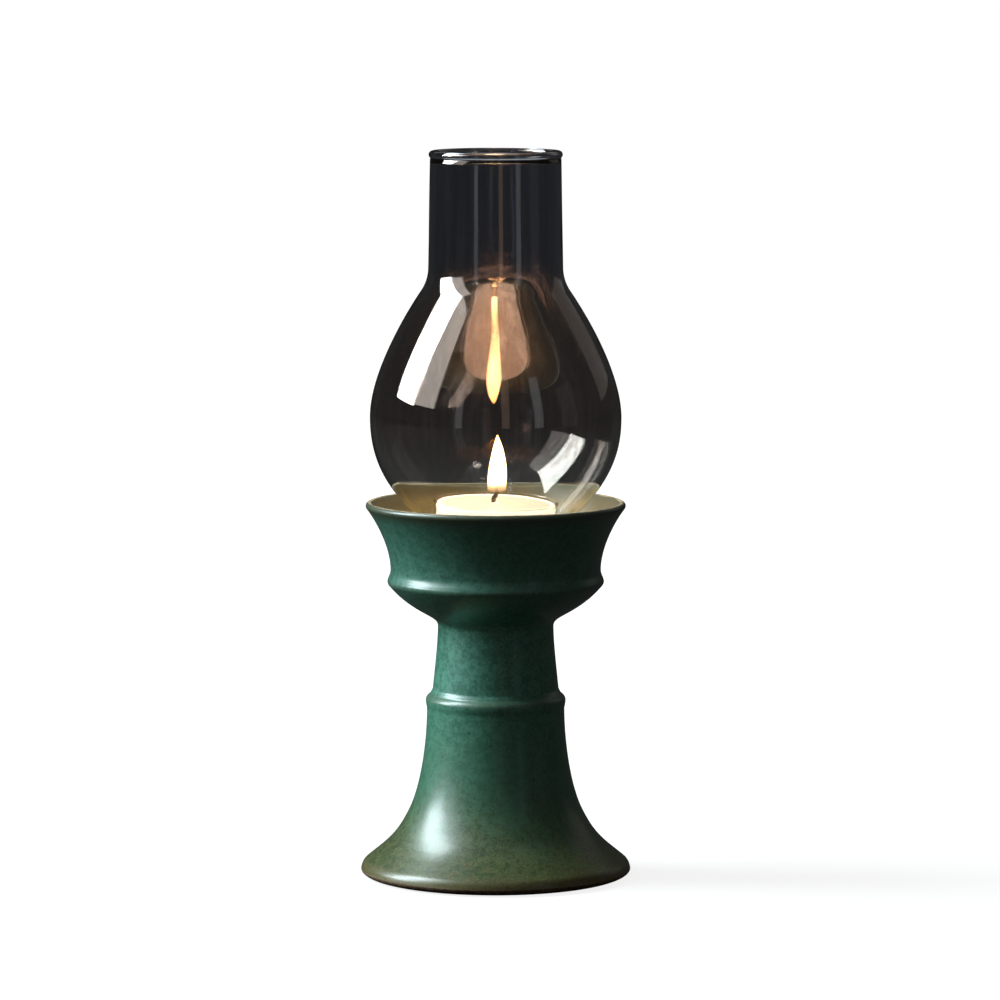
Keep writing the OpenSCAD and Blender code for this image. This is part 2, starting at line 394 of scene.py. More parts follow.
stand = {
    # foot and stem: sizes in mm, leans in degrees
    "edgeRadius": 40.85, "edgeHeight": 2.15, "edgeRound": 3.8, "edgeLean": 50.6,    # widest line of the foot
    "groundRadius": 35.4, "groundWidth": 4.4, "chamfer": 0.8,   # ring that it stands on
    "flareRadius": 20.87, "flareTop": 50.9, "flareLean": 26,
    "flareMiddle": (0.292, 0.33),       # shares of the flare's run and height where its curves meet
    "collarHeight": 6.4, "collarCrest": 0.35, "beadRound": 2.0, "beadTurn": 45,
    "stemLow": 19.1, "stemHigh": 17.55, "stemHeight": 19.2,
    # bowl
    "underHeight": 13.3, "ridgeRadius": 32.77, "ridgeRound": 1.75, "ridgeLow": 40, "ridgeHigh": 24,
    "waistHeight": 3.5, "waistIn": 0.95, "sideHeight": 20.6,
    "lipRadius": 39.3, "lipThick": 2.4, "lipLean": 37,
    "bowlWall": 4.0, "cornerRound": 2.0,
    "seatRadius": 23.0, "seatDepth": 1.5, "seatRound": 0.4,
    "footWall": 4.2, "floorThick": 4.6,
    # relief, in mm
    "glazeLine": 1.9,      # height where the glaze ends on the foot
    "glazeRoll": 0.05,     # how far the rolled end of the glaze stands out
    "throwing": 0.0048,    # swing of the strongest of the three waves of the throwing lines
    "collarLine": 0.14,    # depth of the line round the top of the collar
    "lineBelow": 1.45,     # how far that line lies below the top of the collar
    "thinBelow": 2.4,      # and the band of thin glaze
    # colours of the glaze
    "deepTeal": (0.046, 0.2, 0.13), "lightTeal": (0.112, 0.38, 0.27), "greyTeal": (0.14, 0.35, 0.22),
    "olive": (0.165, 0.212, 0.062), "oliveDark": (0.055, 0.092, 0.028), "rust": (0.14, 0.085, 0.03),
    "thinGlaze": (0.62, 0.5, 0.32), "crestGlaze": (0.14, 0.145, 0.09), "endLine": (0.62, 0.5, 0.36),
    "innerOchre": (0.66, 0.42, 0.15), "innerGreen": (0.38, 0.29, 0.11),
    # clay is the bare clay's brown, darkened as painted shade where the foot meets the ground
    "clay": (0.11, 0.055, 0.028), "clayPale": (0.27, 0.17, 0.1), "speck": (0.02, 0.032, 0.02),
    # layers over them: colour, heights in mm where its share changes, share below and share above
    "leafGreen": ((0.06, 0.2, 0.108), (20, 70), 0.75, 0.0),
    "darkBowlTeal": ((0.034, 0.1, 0.068), (72, 88), 0.0, 0.45),    # darker on the bowl
    "lipOlive": ((0.075, 0.085, 0.042), (108.5, 112.8), 0.0, 0.85),
    "edgeBrown": ((0.27, 0.19, 0.062), (2.5, 6.5), 0.6, 0.0),
    # painted shade on the inside of the bowl, below the lip
    "shadeBelowLip": ((0.07, 0.062, 0.026), (103, 111.5), 0.0, 0.85),
    # heights in mm between which these go over into what lies above
    "oliveSpan": (6, 33), "rustSpan": (4, 26), "speckSpan": (12, 60),
    # noises of the glaze, per metre
    "grainScale": 1300.0, "cloudScale": 34.0, "broadScale": 180.0, "blotchScale": 430.0, "fineScale": 2100.0,
}

collarTop = stand["flareTop"] + stand["collarHeight"]
stemTop = collarTop + stand["stemHeight"]
ridgeHeight = stemTop + stand["underHeight"]
waistTop = ridgeHeight + stand["waistHeight"]
floorHeight = seatHeight + stand["seatDepth"]
hollowTop = seatHeight - stand["floorThick"]


def layered(tree, colour, height, layer):
    # the layer's own colour laid over the colour by its share at this height
    over, span, below, above = layer
    return blended(tree, byHeight(tree, height, span, below, above), colour, over)


def tealGlaze(tree, height, tone, broad, blotch):
    # teal by its tone with greyish patches, leaf green towards the foot, darker on the bowl and
    # olive under the lip
    teal = blended(tree, tone, stand["deepTeal"], stand["lightTeal"])
    teal = blended(tree, times(tree, broad, blotch, 0.3), teal, stand["greyTeal"])
    teal = layered(tree, teal, height, stand["leafGreen"])
    teal = layered(tree, teal, height, stand["darkBowlTeal"])
    return layered(tree, teal, uneven(tree, height, broad, 1 * mm), stand["lipOlive"])


def oliveGlaze(tree, height, tone, blotch, fine):
    # olive by its tone, brown at the foot's edge, with dark grains and patches of rust
    olive = blended(tree, tone, stand["oliveDark"], stand["olive"])
    olive = layered(tree, olive, height, stand["edgeBrown"])
    olive = blended(tree, times(tree, spread(tree, fine, 0.45, 0.9), 0.35), olive, stand["oliveDark"])
    patches = spread(tree, plus(tree, blotch, fine), 1.0, 1.6)
    rust = times(tree, patches, byHeight(tree, height, stand["rustSpan"], 0.75, 0.0))
    return blended(tree, rust, olive, stand["rust"])


def ochreGlaze(tree, height, grain, clouds):
    # ochre and green in clouds, with painted shade on the inside below the lip
    tone = weighted(tree, (clouds, 0.5), (grain, 0.4))
    ochre = blended(tree, tone, stand["innerGreen"], stand["innerOchre"])
    return layered(tree, ochre, height, stand["shadeBelowLip"])


def makeGlaze():
    # teal outside, olive at the foot, ochre inside the bowl; thin on the collar and the lip, with
    # dark specks, and bare clay below the glaze line
    material, tree = newMaterial("tealGlaze")
    point = objectPoint(tree)
    height = heightOf(tree, point)
    grain, clouds = useMottle(tree, point, stand["grainScale"], stand["cloudScale"])
    broad, blotch = useMottle(tree, point, stand["broadScale"], stand["blotchScale"])
    fine = useMottle(tree, point, stand["fineScale"], stand["cloudScale"])[0]
    tone = weighted(tree, (grain, 0.45), (clouds, 0.15), (broad, 0.12), (blotch, 0.28))
    tone = spread(tree, tone, 0.18, 0.82)
    thin, inner, bare = (mark(tree, name) for name in ("thin", "inner", "bare"))

    teal = tealGlaze(tree, height, tone, broad, blotch)
    olive = oliveGlaze(tree, height, tone, blotch, fine)
    lowEdge = uneven(tree, uneven(tree, height, clouds, 8 * mm), blotch, 6 * mm)
    colour = blended(tree, byHeight(tree, lowEdge, stand["oliveSpan"], 1.0, 0.0), teal, olive)
    crest = times(tree, thin, spread(tree, plus(tree, thin, times(tree, grain, 0.3)), 0.2, 0.9), 0.8)
    colour = blended(tree, crest, colour, stand["crestGlaze"])
    colour = blended(tree, inner, colour, ochreGlaze(tree, height, grain, clouds))

    # pale lines where the glaze ends on the foot and where it runs thin on the lip
    endSpan = (stand["glazeLine"] + 0.1, stand["glazeLine"] + 0.7)
    endLine = times(tree, byHeight(tree, height, endSpan, 1.0, 0.0), less(tree, 1.0, inner), 0.8)
    colour = blended(tree, endLine, colour, stand["endLine"])
    lipLine = spread(tree, plus(tree, thin, times(tree, broad, 0.25)), 0.85, 1.15)
    colour = blended(tree, lipLine, colour, stand["thinGlaze"])

    small = useSpecks(tree, point, scale=1150.0, share=0.5)
    large = useSpecks(tree, point, scale=620.0, share=0.12)
    iron = byHeight(tree, height, stand["speckSpan"], 0.6, 0.28)  # more iron shows towards the foot
    colour = blended(tree, larger(tree, times(tree, small, iron), times(tree, large, 0.5)),
                     colour, stand["speck"])
    # bare clay below the glaze line, its brown darkened as painted shade
    bareClay = spread(tree, uneven(tree, bare, broad, 0.35), 0.42, 0.58)
    colour = blended(tree, bareClay, colour, blended(tree, tone, stand["clay"], stand["clayPale"]))

    rough = plus(tree, times(tree, tone, 0.14), 0.4, times(tree, bareClay, 0.4))
    coat = less(tree, less(tree, 1.0, bareClay), times(tree, lipLine, 0.6))
    pitted = plus(tree, weighted(tree, (grain, 0.35), (broad, 0.65)), times(tree, bareClay, grain, 3.0))
    shader = put(tree, "ShaderNodeBsdfPrincipled", Base_Color=colour, Roughness=rough, IOR=1.55,
                 Coat_Weight=coat, Coat_Roughness=0.27, Coat_IOR=1.6,
                 Normal=relief(tree, pitted, strength=0.3, depth=0.06))
    return finished(material, shader)


def footPaths():
    # from the ground round the widest line, and up the flare in two curves that meet at its middle
    radius, wide, height = stand["groundRadius"], stand["edgeRadius"], stand["edgeHeight"]
    ground = curve([radius, 0], [radius + 0.55 * (wide - radius), 0],
                   [wide, 0.45 * height], [wide, height], 16)
    edge = arc([wide - stand["edgeRound"], height], stand["edgeRound"], 0, stand["edgeLean"], 14)
    top = np.array([stand["flareRadius"], stand["flareTop"]])
    run, rise = np.abs(top - edge[-1])
    middle = np.array([top[0] + stand["flareMiddle"][0] * run, edge[-1][1] + stand["flareMiddle"][1] * rise])
    upMiddle = leaning(stand["flareLean"])
    flare = joined(curve(edge[-1], edge[-1] + 0.175 * rise * leaning(stand["edgeLean"]),
                         middle - 0.2 * rise * upMiddle, middle, 36),
                   curve(middle, middle + 0.19 * rise * upMiddle, top - [0, 0.19 * rise], top, 40))
    return joined(ground, edge), flare


def collarPath():
    # one rounded bead that swells out of the flare, and a slope from it up to the stem
    radius, high = stand["flareRadius"], stand["collarHeight"]
    crest = np.array([radius + stand["collarCrest"], stand["flareTop"] + 0.43 * high])
    swell = curve([radius, stand["flareTop"]], [radius, stand["flareTop"] + 0.17 * high],
                  crest - [0, 0.22 * high], crest, 18)
    bead = arc(crest - [stand["beadRound"], 0], stand["beadRound"], 0, stand["beadTurn"], 16)
    slope = curve(bead[-1], [stand["stemLow"] + 0.9, collarTop - 1.5],
                  [stand["stemLow"] + 0.15, collarTop - 0.7], [stand["stemLow"], collarTop], 30)
    return joined(swell, bead, slope)


def stemPath():
    # from the collar up to the bowl, slimmer towards the top
    low, high = stand["stemLow"], stand["stemHigh"]
    return curve([low, collarTop], [low - 0.8, collarTop + 0.4 * stand["stemHeight"]],
                 [high, stemTop - 0.25 * stand["stemHeight"]], [high, stemTop], 24)


def bowlPaths():
    # the underside; then the ridge, the waist and the flared side; then the lip
    centre = [stand["ridgeRadius"] - stand["ridgeRound"], ridgeHeight]
    ridge = arc(centre, stand["ridgeRound"], -stand["ridgeLow"], stand["ridgeHigh"], 16)
    stem, high = stand["stemHigh"], stand["underHeight"]
    under = curve([stem, stemTop], [stem + 0.5, stemTop + 0.25 * high],
                  ridge[0] - 0.83 * high * leaning(-stand["ridgeLow"]), ridge[0], 34)
    waistRadius = stand["ridgeRadius"] - stand["waistIn"]
    waist = curve(ridge[-1], [waistRadius + 0.55, waistTop - 1.9], [waistRadius, waistTop - 1.2],
                  [waistRadius, waistTop], 14)
    high, lipRound = stand["sideHeight"], stand["lipThick"] / 2
    lip = arc([stand["lipRadius"] - lipRound, waistTop + high - lipRound], lipRound,
              -stand["lipLean"], 180 - stand["lipLean"], 26)
    side = curve([waistRadius, waistTop], [waistRadius, waistTop + 0.31 * high],
                 lip[0] - 0.27 * high * leaning(-stand["lipLean"]), lip[0], 40)
    return under, joined(ridge, waist), side, lip


def seatPath(side):
    # down the inside of the bowl, over its floor and the round seat to the axis
    radius, small, corner = stand["seatRadius"], stand["seatRound"], stand["cornerRound"]
    inside = inset(side, stand["bowlWall"], stand["lipThick"])[::-1]
    foot = arc([inside[-1][0] - corner, floorHeight + corner], corner, 0, -90, 10)
    return joined(inside, foot, line([foot[-1][0], floorHeight], [radius + small, floorHeight], 8),
                  arc([radius + small, floorHeight - small], small, 90, 180, 6),
                  line([radius, floorHeight - small], [radius, seatHeight + small], 3),
                  arc([radius - small, seatHeight + small], small, 0, -90, 6),
                  line([radius - small, seatHeight], [0, seatHeight], 14))


def hollowPath(flare, under):
    # from the axis under the bowl, down inside a wall of one thickness as far as the opening's radius,
    # and straight down to the ring that it stands on
    radius, chamfer = stand["groundRadius"] - stand["groundWidth"], stand["chamfer"]
    stem = line([stand["stemLow"], collarTop], [stand["stemHigh"], stemTop], 16)
    wall = inset(joined(flare, stem, under), stand["footWall"], stand["footWall"])
    wall = wall[(wall[:, 0] < radius) & (wall[:, 1] < hollowTop - 0.4)]
    topRadius = wall[-1][0]
    turn = curve(wall[-1], wall[-1] + [0.25, 0.25],
                 [topRadius - 0.1, hollowTop], [topRadius - 0.7, hollowTop], 6)
    return joined(line([0, hollowTop], [topRadius - 0.8, hollowTop], 14), turn[::-1], wall[::-1],
                  line([radius, wall[0][1]], [radius, chamfer + 0.1], 6),
                  curve([radius, chamfer], [radius, 0.3], [radius + 0.4, 0], [radius + chamfer, 0], 6),
                  line([radius + chamfer, 0], [stand["groundRadius"], 0], 6))


def addStand():
    # the section from the axis in the hollow, round the outside to the middle of the seat, turned
    foot, flare = footPaths()
    under, waist, side, lip = bowlPaths()
    section = joined(hollowPath(flare, under), foot, flare, collarPath(), stemPath(), under, waist, side,
                     lip, seatPath(side))
    r, z = section.T
    along = lengths(section)
    pastFoot = along - along[int(np.argmax(r))]     # mm of the section past the widest line
    pastLip = along - along[int(np.argmax(z))]
    outside = pastFoot > 0

    # turn of the wall per mm, outward turns positive, smoothed over five points
    turn = np.unwrap(np.arctan2(*np.gradient(section, axis=0).T[::-1]))
    turn = np.gradient(turn) / np.maximum(np.gradient(along), 0.05)
    turn = np.convolve(np.clip(turn, 0, 1), np.ones(5) / 5, "same")
    # the glaze runs thin over edges, on the top of the collar and on the lip
    thin = np.clip(turn * 0.8, 0, 0.5) * (pastFoot > 3)
    thin = np.maximum(thin, 0.6 * np.exp(-((z - collarTop + stand["thinBelow"]) / 1.5) ** 4) * outside)
    thin = np.maximum(thin, np.exp(-(pastLip / 1.3) ** 2))
    inner = smoothStep(pastLip, 0.4, 2.2)
    bare = np.where(outside, 1 - smoothStep(z, stand["glazeLine"] - 0.7, stand["glazeLine"] + 0.7), 1.0)

    # no throwing lines on the seat, on the ground or in the narrow part of the hollow
    thrown = (z > 2.5) & ((r > stand["seatRadius"] + 0.5) | outside & (z < ridgeHeight))
    roll = np.exp(-((z - stand["glazeLine"] - 0.5) / 0.35) ** 2) * outside
    collarLine = np.exp(-((z - collarTop + stand["lineBelow"]) / 0.45) ** 2) * outside

    def throwing(lengthAlong, angle):
        # three waves along the wall, turned a little by the angle, all cut into the wall, as are the
        # glaze away from its rolled end and the line round the collar
        wave = (np.sin(lengthAlong * 1.9 + angle) + 0.6 * np.sin(lengthAlong * 0.83 - 2 * angle + 1)
                + 0.5 * np.sin(lengthAlong * 3.7 + 3 * angle + 2))
        cut = stand["throwing"] * (wave + 2.2) + stand["glazeRoll"] * (1 - roll[:, None])
        return -cut * thrown[:, None] - stand["collarLine"] * collarLine[:, None]

    skin("glazedStand", turnedRows(section, 168, throwing), "stand", makeGlaze(),
         replaced=("stand",), marks={"thin": thin, "inner": inner, "bare": bare})
    print("stand made: %d steps round the section" % len(section))


addStand()

chimney = {
    # sizes in mm, heights from the foot of the glass, leans in degrees
    "wall": 1.8,
    "fitterRadius": 22.4, "fitterHeight": 16.2, "fitterBend": 3.0, "fitterLean": 48,
    "bulbRadius": 37.95, "bulbMiddle": 48.6,
    "neckFoot": 93.8, "neckRadius": 20.33, "neckBend": 12.7, "neckLean": 34,
    "mouthRadius": 19.75, "beadThick": 2.4, "beadOut": 0.4,
    "wave": 0.02,                               # swing of the stronger wave of the blown wall
    # the glass
    "clear": (0.96, 0.965, 0.95), "smoke": (0.65, 0.6, 0.575), "neckSmoke": (0.6, 0.65, 0.74),
    "paleStreak": (0.95, 0.95, 0.97), "sheen": (1.0, 0.77, 0.66),
    "smokeSpan": (118.0, 142.0),                # mm from the ground, where the smoke starts and is full
    "neckSpan": (170.0, 190.0),                 # and where it turns bluish
    "ior": 2.3,
}


def makeSmokedGlass():
    # clear at the foot, smoked above it and bluish at the neck, with pale streaks drawn upwards
    look = chimney
    material, tree = newMaterial("smokedGlass")
    point = objectPoint(tree)
    height = heightOf(tree, point)
    grain, clouds = useMottle(tree, point, grainScale=900.0, cloudScale=30.0)
    drawn = put(tree, "ShaderNodeMapping", {"vector_type": "POINT"}, Vector=point, Scale=(1.0, 1.0, 0.05))
    streaks, bands = useMottle(tree, drawn.outputs[0], grainScale=330.0, cloudScale=110.0)
    tone = blended(tree, byHeight(tree, height, look["neckSpan"]), look["smoke"], look["neckSmoke"])
    streaks = times(tree, spread(tree, streaks, 0.35, 0.8, 0.0, 0.8), bands)
    tone = blended(tree, streaks, tone, look["paleStreak"])
    smoked = byHeight(tree, uneven(tree, height, clouds, 1.5 * mm), look["smokeSpan"])
    colour = blended(tree, smoked, look["clear"], tone)
    shader = put(tree, "ShaderNodeBsdfPrincipled", Base_Color=colour, IOR=look["ior"],
                 Roughness=times(tree, clouds, grain, 0.02), Specular_Tint=look["sheen"],
                 Transmission_Weight=1.0, Normal=relief(tree, clouds, strength=0.12, depth=0.08))
    return finished(material, lettingLightIn(tree, shader, colour))


def addChimney():
    # fitter, bend, bulb, bend and neck outside, a rounded bead at the mouth, and the same line inside
    size = chimney
    half, radius = size["wall"] / 2, size["fitterRadius"]
    bend = arc([radius + size["fitterBend"], size["fitterHeight"]], size["fitterBend"],
               180, 180 - size["fitterLean"], 16)
    neckBend = arc([size["neckRadius"] + size["neckBend"], size["neckFoot"]], size["neckBend"],
                   180 + size["neckLean"], 180, 22)
    middle = np.array([size["bulbRadius"], size["bulbMiddle"]])
    below = middle[1] - bend[-1][1]
    above = neckBend[0][1] - middle[1]
    bulbLow = curve(bend[-1], bend[-1] + 0.49 * below * leaning(-size["fitterLean"]),
                    middle - [0, 0.36 * below], middle, 44)
    bulbHigh = curve(middle, middle + [0, 0.36 * above],
                     neckBend[0] - 0.19 * above * leaning(size["neckLean"]), neckBend[0], 54)
    mouth = mouthHeight - seatHeight
    outside = joined(line([radius, half], bend[0], 12), bend, bulbLow, bulbHigh, neckBend,
                     line(neckBend[-1], [size["mouthRadius"], mouth - size["beadThick"]], 24))
    bead = size["beadThick"] / 2
    section = joined(arc([radius - half, half], half, -90, 0, 8), outside,
                     arc([size["mouthRadius"] + size["beadOut"] - bead, mouth - bead], bead, -60, 240, 26),
                     inset(outside, size["wall"], size["wall"])[::-1],
                     arc([radius - half, half], half, 180, 262, 8))
    section = section + [0, seatHeight]

    def blown(lengthAlong, angle):
        # slow waves along the wall and round it, inwards only, and none at the fitter's foot
        wave = np.sin(lengthAlong * 0.13 + 2 * angle) + 0.7 * np.sin(lengthAlong * 0.21 - 3 * angle + 1)
        share = smoothStep(section[:, 1], seatHeight + 2, seatHeight + 16)[:, None]
        return -size["wave"] * (wave + 1.7) * share

    skin("smokedChimney", turnedRows(section, 144, blown, ring=True), "chimney",
         makeSmokedGlass(), ring=True, replaced=("chimney",))
    print("chimney made: %d steps round the section" % len(section))


addChimney()

candle = {
    # cup and wax, in mm
    "cupWall": 0.5, "cupRoll": 0.5,     # thickness, and radius of the rolled edge
    "wallIn": 0.4,                      # from the outside of the roll in to the wall
    "cupCorner": 2.0, "innerCorner": 1.7,
    "floorRise": 0.35, "riseRadius": 12.0, "ringRadius": 14.4,  # the floor is higher within riseRadius
    "waxGap": 0.1,                      # between the wax and the cup
    "waxRound": 0.35,                   # rounding of the wax's edge
    "poolEdge": 16.9,                   # radius that the wax has melted to
    "poolDrop": 0.22,                   # from the edge of the wax down to the melt
    "meniscus": 0.4,                    # how far the melt climbs the wick
    "plastic": (0.97, 0.97, 0.95), "plasticIor": 1.06,
    "wax": (0.6, 0.52, 0.38), "meltedWax": (0.75, 0.64, 0.42),
    "glow": 2.3,                        # strength of the painted glow, standing in for the flame's light inside the wax
    "glowReach": 32.0,                  # mm from the wick to where the glow's last colour is reached
    "glowColours": [(0.0, (1.0, 0.62, 0.44)), (0.45, (0.92, 0.6, 0.44)), (0.62, (0.8, 0.58, 0.44)),
                    (0.78, (0.24, 0.14, 0.08)), (1.0, (0.1, 0.045, 0.02))],
    "glowCloud": (0.5, 0.3, 0.2),
}


def darker(colour, share):
    # each part of the colour times share
    return tuple(share * part for part in colour)


def makePlastic():
    # nearly clear, with a slightly uneven surface
    look = candle
    material, tree = newMaterial("cupPlastic")
    grain, clouds = useMottle(tree, objectPoint(tree), grainScale=700.0, cloudScale=90.0)
    colour = blended(tree, times(tree, clouds, 0.5), look["plastic"], darker(look["plastic"], 0.97))
    shader = put(tree, "ShaderNodeBsdfPrincipled", Base_Color=colour, IOR=look["plasticIor"],
                 Roughness=plus(tree, times(tree, grain, 0.1), 0.01), Transmission_Weight=1.0,
                 Normal=relief(tree, clouds, strength=0.1, depth=0.05))
    return finished(material, lettingLightIn(tree, shader, colour))


def makeWax():
    # cream wax with a painted glow by its distance from the wick, standing in for the flame's light in the
    # wax; the melt is smooth, glossy and yellower
    look = candle
    material, tree = newMaterial("creamWax")
    point = objectPoint(tree)
    grain, clouds = useMottle(tree, point, grainScale=800.0, cloudScale=120.0)
    melted = mark(tree, "melted")
    colour = blended(tree, times(tree, plus(tree, grain, clouds), 0.3), look["wax"], darker(look["wax"], 0.9))
    colour = blended(tree, times(tree, melted, 0.6), colour, look["meltedWax"])
    away = put(tree, "ShaderNodeVectorMath", {"operation": "DISTANCE"}, n0=point, n1=(0, 0, waxTop * mm))
    # painted glow: the wax gives light of its own, by its distance from the wick
    glow = ramp(tree, spread(tree, away.outputs["Value"], 0.0, look["glowReach"] * mm), look["glowColours"])
    glow = blended(tree, times(tree, clouds, 0.15), glow, look["glowCloud"])
    shader = put(tree, "ShaderNodeBsdfPrincipled", Base_Color=colour, IOR=1.44,
                 Roughness=plus(tree, times(tree, grain, 0.12), 0.36),
                 Subsurface_Weight=0.5, Subsurface_Radius=(1.0, 0.5, 0.25), Subsurface_Scale=4 * mm,
                 Coat_Weight=melted, Coat_Roughness=0.04, Coat_IOR=1.43,
                 Emission_Color=glow, Emission_Strength=look["glow"],
                 Normal=relief(tree, times(tree, grain, less(tree, 1.0, melted)), strength=0.25, depth=0.1))
    return finished(material, shader)


def addCup():
    # thin wall and floor with rounded corners, a floor that rises in the middle, and a rolled edge
    # that hangs outside the wall; heights are taken from the seat
    wall, roll, rise = candle["cupWall"], candle["cupRoll"], candle["floorRise"]
    start, ring = candle["riseRadius"], candle["ringRadius"]
    outer, inner = candle["cupCorner"], candle["innerCorner"]
    radius = cupRadius - candle["wallIn"]
    edge = cupEdge - seatHeight - roll
    outside = joined(line([0, rise], [start, rise], 6),
                     curve([start, rise], [start + 1, rise], [ring - 1, 0], [ring, 0], 8),
                     line([ring, 0], [radius - outer - 0.4, 0], 4),
                     arc([radius - outer, outer], outer, -90, 0, 10),
                     line([radius, outer], [radius, edge - 0.6], 20))
    rolled = arc([cupRadius - roll, edge], roll, -70, 180, 18)
    cornerRadius = radius - wall - inner
    inside = joined(line([radius - wall, edge], [radius - wall, wall + inner], 20),
                    arc([cornerRadius, wall + inner], inner, 0, -90, 10),
                    line([cornerRadius, wall], [ring + 0.2, wall], 4),
                    curve([ring + 0.2, wall], [ring - 0.6, wall], [start + 1.2, wall + rise],
                          [start, wall + rise], 8),
                    line([start, wall + rise], [0, wall + rise], 6))
    section = joined(outside, rolled, inside) + [0, seatHeight]
    skin("clearCup", turnedRows(section, 120), "candle", makePlastic(), replaced=("candle_cup",))


def addWax():
    # a block that fills the cup; inside a narrow edge its top is melted flat, and climbs the wick
    gap, rise, small = candle["waxGap"], candle["floorRise"], candle["waxRound"]
    side = cupRadius - candle["wallIn"] - candle["cupWall"] - gap
    low = seatHeight + candle["cupWall"] + gap
    corner = candle["innerCorner"] - gap
    shoulder = waxTop - small
    start, ring, poolEdge = candle["riseRadius"], candle["ringRadius"], candle["poolEdge"]
    radius = np.linspace(side - small, 0, 70)
    top = waxTop - candle["poolDrop"] * (1 - smoothStep(radius, poolEdge - 0.5, poolEdge + 0.3))
    top += candle["meniscus"] * np.exp(-np.maximum(radius - 0.5, 0) / 0.5)
    section = joined(line([0, low + rise], [start - 0.5, low + rise], 6),
                     curve([start - 0.5, low + rise], [start + 1, low + rise],
                           [start + 1, low + 0.05], [ring, low], 8),
                     line([ring, low], [side - 2, low], 3),
                     arc([side - corner, low + corner], corner, -80, 0, 10),
                     line([side, low + rise + 1.4], [side, shoulder], 20),
                     arc([side - small, shoulder], small, 0, 90, 6), np.stack([radius, top], 1))
    r, z = section.T
    onTop = z > waxTop - 0.3
    melted = smoothStep(poolEdge - r, 0.0, 0.5) * onTop
    edge = (onTop & (r > poolEdge - 0.5) & (r < side - 0.4))[:, None]

    def cast(_, angle):
        # the melt's edge lies a little deeper at some angles than at others
        return -0.06 * (1 + np.sin(5 * angle + 1) * np.sin(3 * angle)) * edge

    skin("creamWax", turnedRows(section, 120, cast), "candle", makeWax(), replaced=("wax",),
         marks={"melted": melted})


wick = {
    # sizes in mm, lean in degrees
    "out": 0.6, "bend": 1.7, "lean": 46, "tip": 1.75,   # straight part, two opposite bends, upright end
    "aside": 0.55,                      # how far the wick stands to the left where it leaves the wax
    "foot": 1.1,                        # above the seat
    "radius": 0.62, "strand": 0.09, "twists": 60,
    "cottonDark": (0.55, 0.47, 0.33), "cotton": (0.8, 0.74, 0.6),
    "soot": (0.0015, 0.0012, 0.001), "ash": (0.008, 0.006, 0.005), "ember": (1.0, 0.2, 0.02),
}


def makeCotton():
    # cotton below, charred above the wax, with an ember at the end
    look = wick
    material, tree = newMaterial("cottonWick")
    point = objectPoint(tree)
    height = heightOf(tree, point)
    grain, clouds = useMottle(tree, point, grainScale=3000.0, cloudScale=500.0)
    charred = byHeight(tree, plus(tree, height, times(tree, clouds, 0.8 * mm)), (waxTop - 0.2, waxTop + 0.7))
    colour = blended(tree, charred, blended(tree, grain, look["cottonDark"], look["cotton"]),
                     blended(tree, grain, look["soot"], look["ash"]))
    ember = ramp(tree, byHeight(tree, height, (waxTop + 4, waxTop + 5)),
                 [(0.0, (0.0, 0.0, 0.0)), (1.0, look["ember"])])
    shader = put(tree, "ShaderNodeBsdfPrincipled", Base_Color=colour,
                 Roughness=plus(tree, times(tree, grain, 0.15), 0.75),
                 Emission_Color=ember, Emission_Strength=0.7,
                 Normal=relief(tree, grain, strength=0.6, depth=0.12))
    return finished(material, shader)


def addWick():
    # cotton braid along the solid wick's own line: three strands twisted, the radius swells over each
    bend, lean = wick["bend"], wick["lean"]
    low = waxTop + wick["out"]
    shift = 2 * bend * (1 - math.cos(math.radians(lean)))
    high = low + 2 * bend * math.sin(math.radians(lean))
    path = joined(line([0, seatHeight + wick["foot"]], [0, low], 60),
                  arc([bend, low], bend, 180, 180 - lean, 14), arc([shift - bend, high], bend, -lean, 0, 14),
                  line([shift, high], [shift - 0.05, high + wick["tip"]], 12))
    path[:, 0] -= wick["aside"] * smoothStep(path[:, 1], low - 6, low)
    spine = np.stack([path[:, 0], np.zeros(len(path)), path[:, 1]], 1)

    def strands(share, angle):
        # radius plus a strand's height times the cosine of the twisted angle, taken without its sign;
        # rounded at both ends and thinner where it is burnt
        end = np.sqrt(np.clip(np.minimum(share, 1 - share) / 0.02, 0, 1))
        taper = 1 - 0.3 * smoothStep(share, 0.86, 1.0)
        burnt = 1 - 0.18 * smoothStep(share, 0.76, 0.84)
        twisted = wick["strand"] * np.abs(np.cos(1.5 * angle + share * wick["twists"]))
        return end * taper * burnt * (wick["radius"] + twisted + 0.03 * np.sin(share * 190 + 2 * angle))

    skin("twistedWick", tubeRows(spine, 30, strands), "candle", makeCotton(), replaced=("wick",))


tab = {
    # radii and heights in mm, heights from the underside of the tab
    "under": 0.9,                       # from the seat to that underside
    "bore": 0.9, "rim": 5.9, "sheet": 0.3, "ringHeight": 0.62, "neckHeight": 3.6,
    "pinch": 0.1,                       # depth of the six pinches
    "steelDark": (0.5, 0.49, 0.47), "steel": (0.68, 0.67, 0.65),
}


def makeSteel():
    # steel in two tones with a fine grain
    material, tree = newMaterial("tabSteel")
    grain, clouds = useMottle(tree, objectPoint(tree), grainScale=2200.0, cloudScale=300.0)
    colour = blended(tree, weighted(tree, (grain, 0.5), (clouds, 0.5)), tab["steelDark"], tab["steel"])
    shader = put(tree, "ShaderNodeBsdfPrincipled", Base_Color=colour, Metallic=1.0,
                 Roughness=plus(tree, times(tree, grain, 0.2), 0.25),
                 Normal=relief(tree, grain, strength=0.2, depth=0.03))
    return finished(material, shader)


